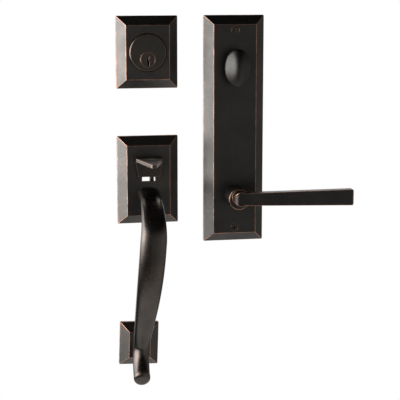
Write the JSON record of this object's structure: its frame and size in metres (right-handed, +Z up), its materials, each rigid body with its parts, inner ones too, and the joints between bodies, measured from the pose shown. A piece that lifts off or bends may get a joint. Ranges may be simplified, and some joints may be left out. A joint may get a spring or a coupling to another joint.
{
  "type": "entry door handleset",
  "caption": "Door entry set: outside keyed deadbolt, leaning S-curved grip with thumbpiece and lower rose, and a long inside plate with thumbturn and lever.",
  "frame": {"origin": "on the door face, midway between the grip plate's two threaded posts, on the latch axis", "axes": "+Z up, -Y out of the door face towards the hand, +X to the right, from the outside units to the inside plate"},
  "size_m": [0.2514, 0.1251, 0.3964],
  "materials": {
    "bronze": "satin",
    "dark_plate": "satin",
    "steel": "zinc plated",
    "brass": "bare",
    "spring_steel": "bright",
    "screw_bronze": "satin"
  },
  "bodies": {
    "fixed": {"deadbolt_plate": "bronze", "cylinder_housing": "bronze", "driver_pins": "brass", "pin_springs": "spring_steel", "chamber_cover": "brass", "grip_plate": "bronze", "thumb_pivot_pin": "steel", "thumb_spring": "spring_steel", "grip_handle": "bronze", "grip_screw": "steel", "grip_washer": "steel", "lower_rose": "bronze", "rose_push_nut": "steel", "inside_plate": "dark_plate", "plate_screws": "screw_bronze", "turn_washer": "steel", "spring_cage": "steel", "cage_screws": "steel", "lever_spring": "spring_steel"},
    "plug": {"cylinder_plug": "bronze", "key_pins": "brass", "plug_clip": "steel", "deadbolt_tailpiece": "steel"},
    "thumbpiece": {"thumbpiece": "bronze"},
    "thumbturn": {"thumbturn": "bronze", "turn_clip": "steel"},
    "lever": {"lever": "bronze", "lever_set_screw": "screw_bronze", "spindle": "steel", "drive_cam": "steel", "lever_ring": "steel"}
  },
  "joints": [
    {"name": "plug_turn", "type": "hinge", "parent": "fixed", "child": "plug", "pos_m": [0, 0, 0.1397], "axis": [0, 1, 0], "range_deg": [-90, 90]},
    {"name": "thumbpiece_press", "type": "hinge", "parent": "fixed", "child": "thumbpiece", "pos_m": [0, -0.0049, 0.016], "axis": [1, 0, 0], "range_deg": [0, 14], "stiffness_Nm_per_rad": 0.25, "springref_deg": -5.73, "deforming": ["thumb_spring"]},
    {"name": "thumbturn_turn", "type": "hinge", "parent": "fixed", "child": "thumbturn", "pos_m": [0.0945, 0, 0.1304], "axis": [0, 1, 0], "range_deg": [0, 90]},
    {"name": "lever_turn", "type": "hinge", "parent": "fixed", "child": "lever", "pos_m": [0.0945, 0, -0.0093], "axis": [0, 1, 0], "range_deg": [-45, 45], "stiffness_Nm_per_rad": 1, "deforming": ["lever_spring"]}
  ]
}
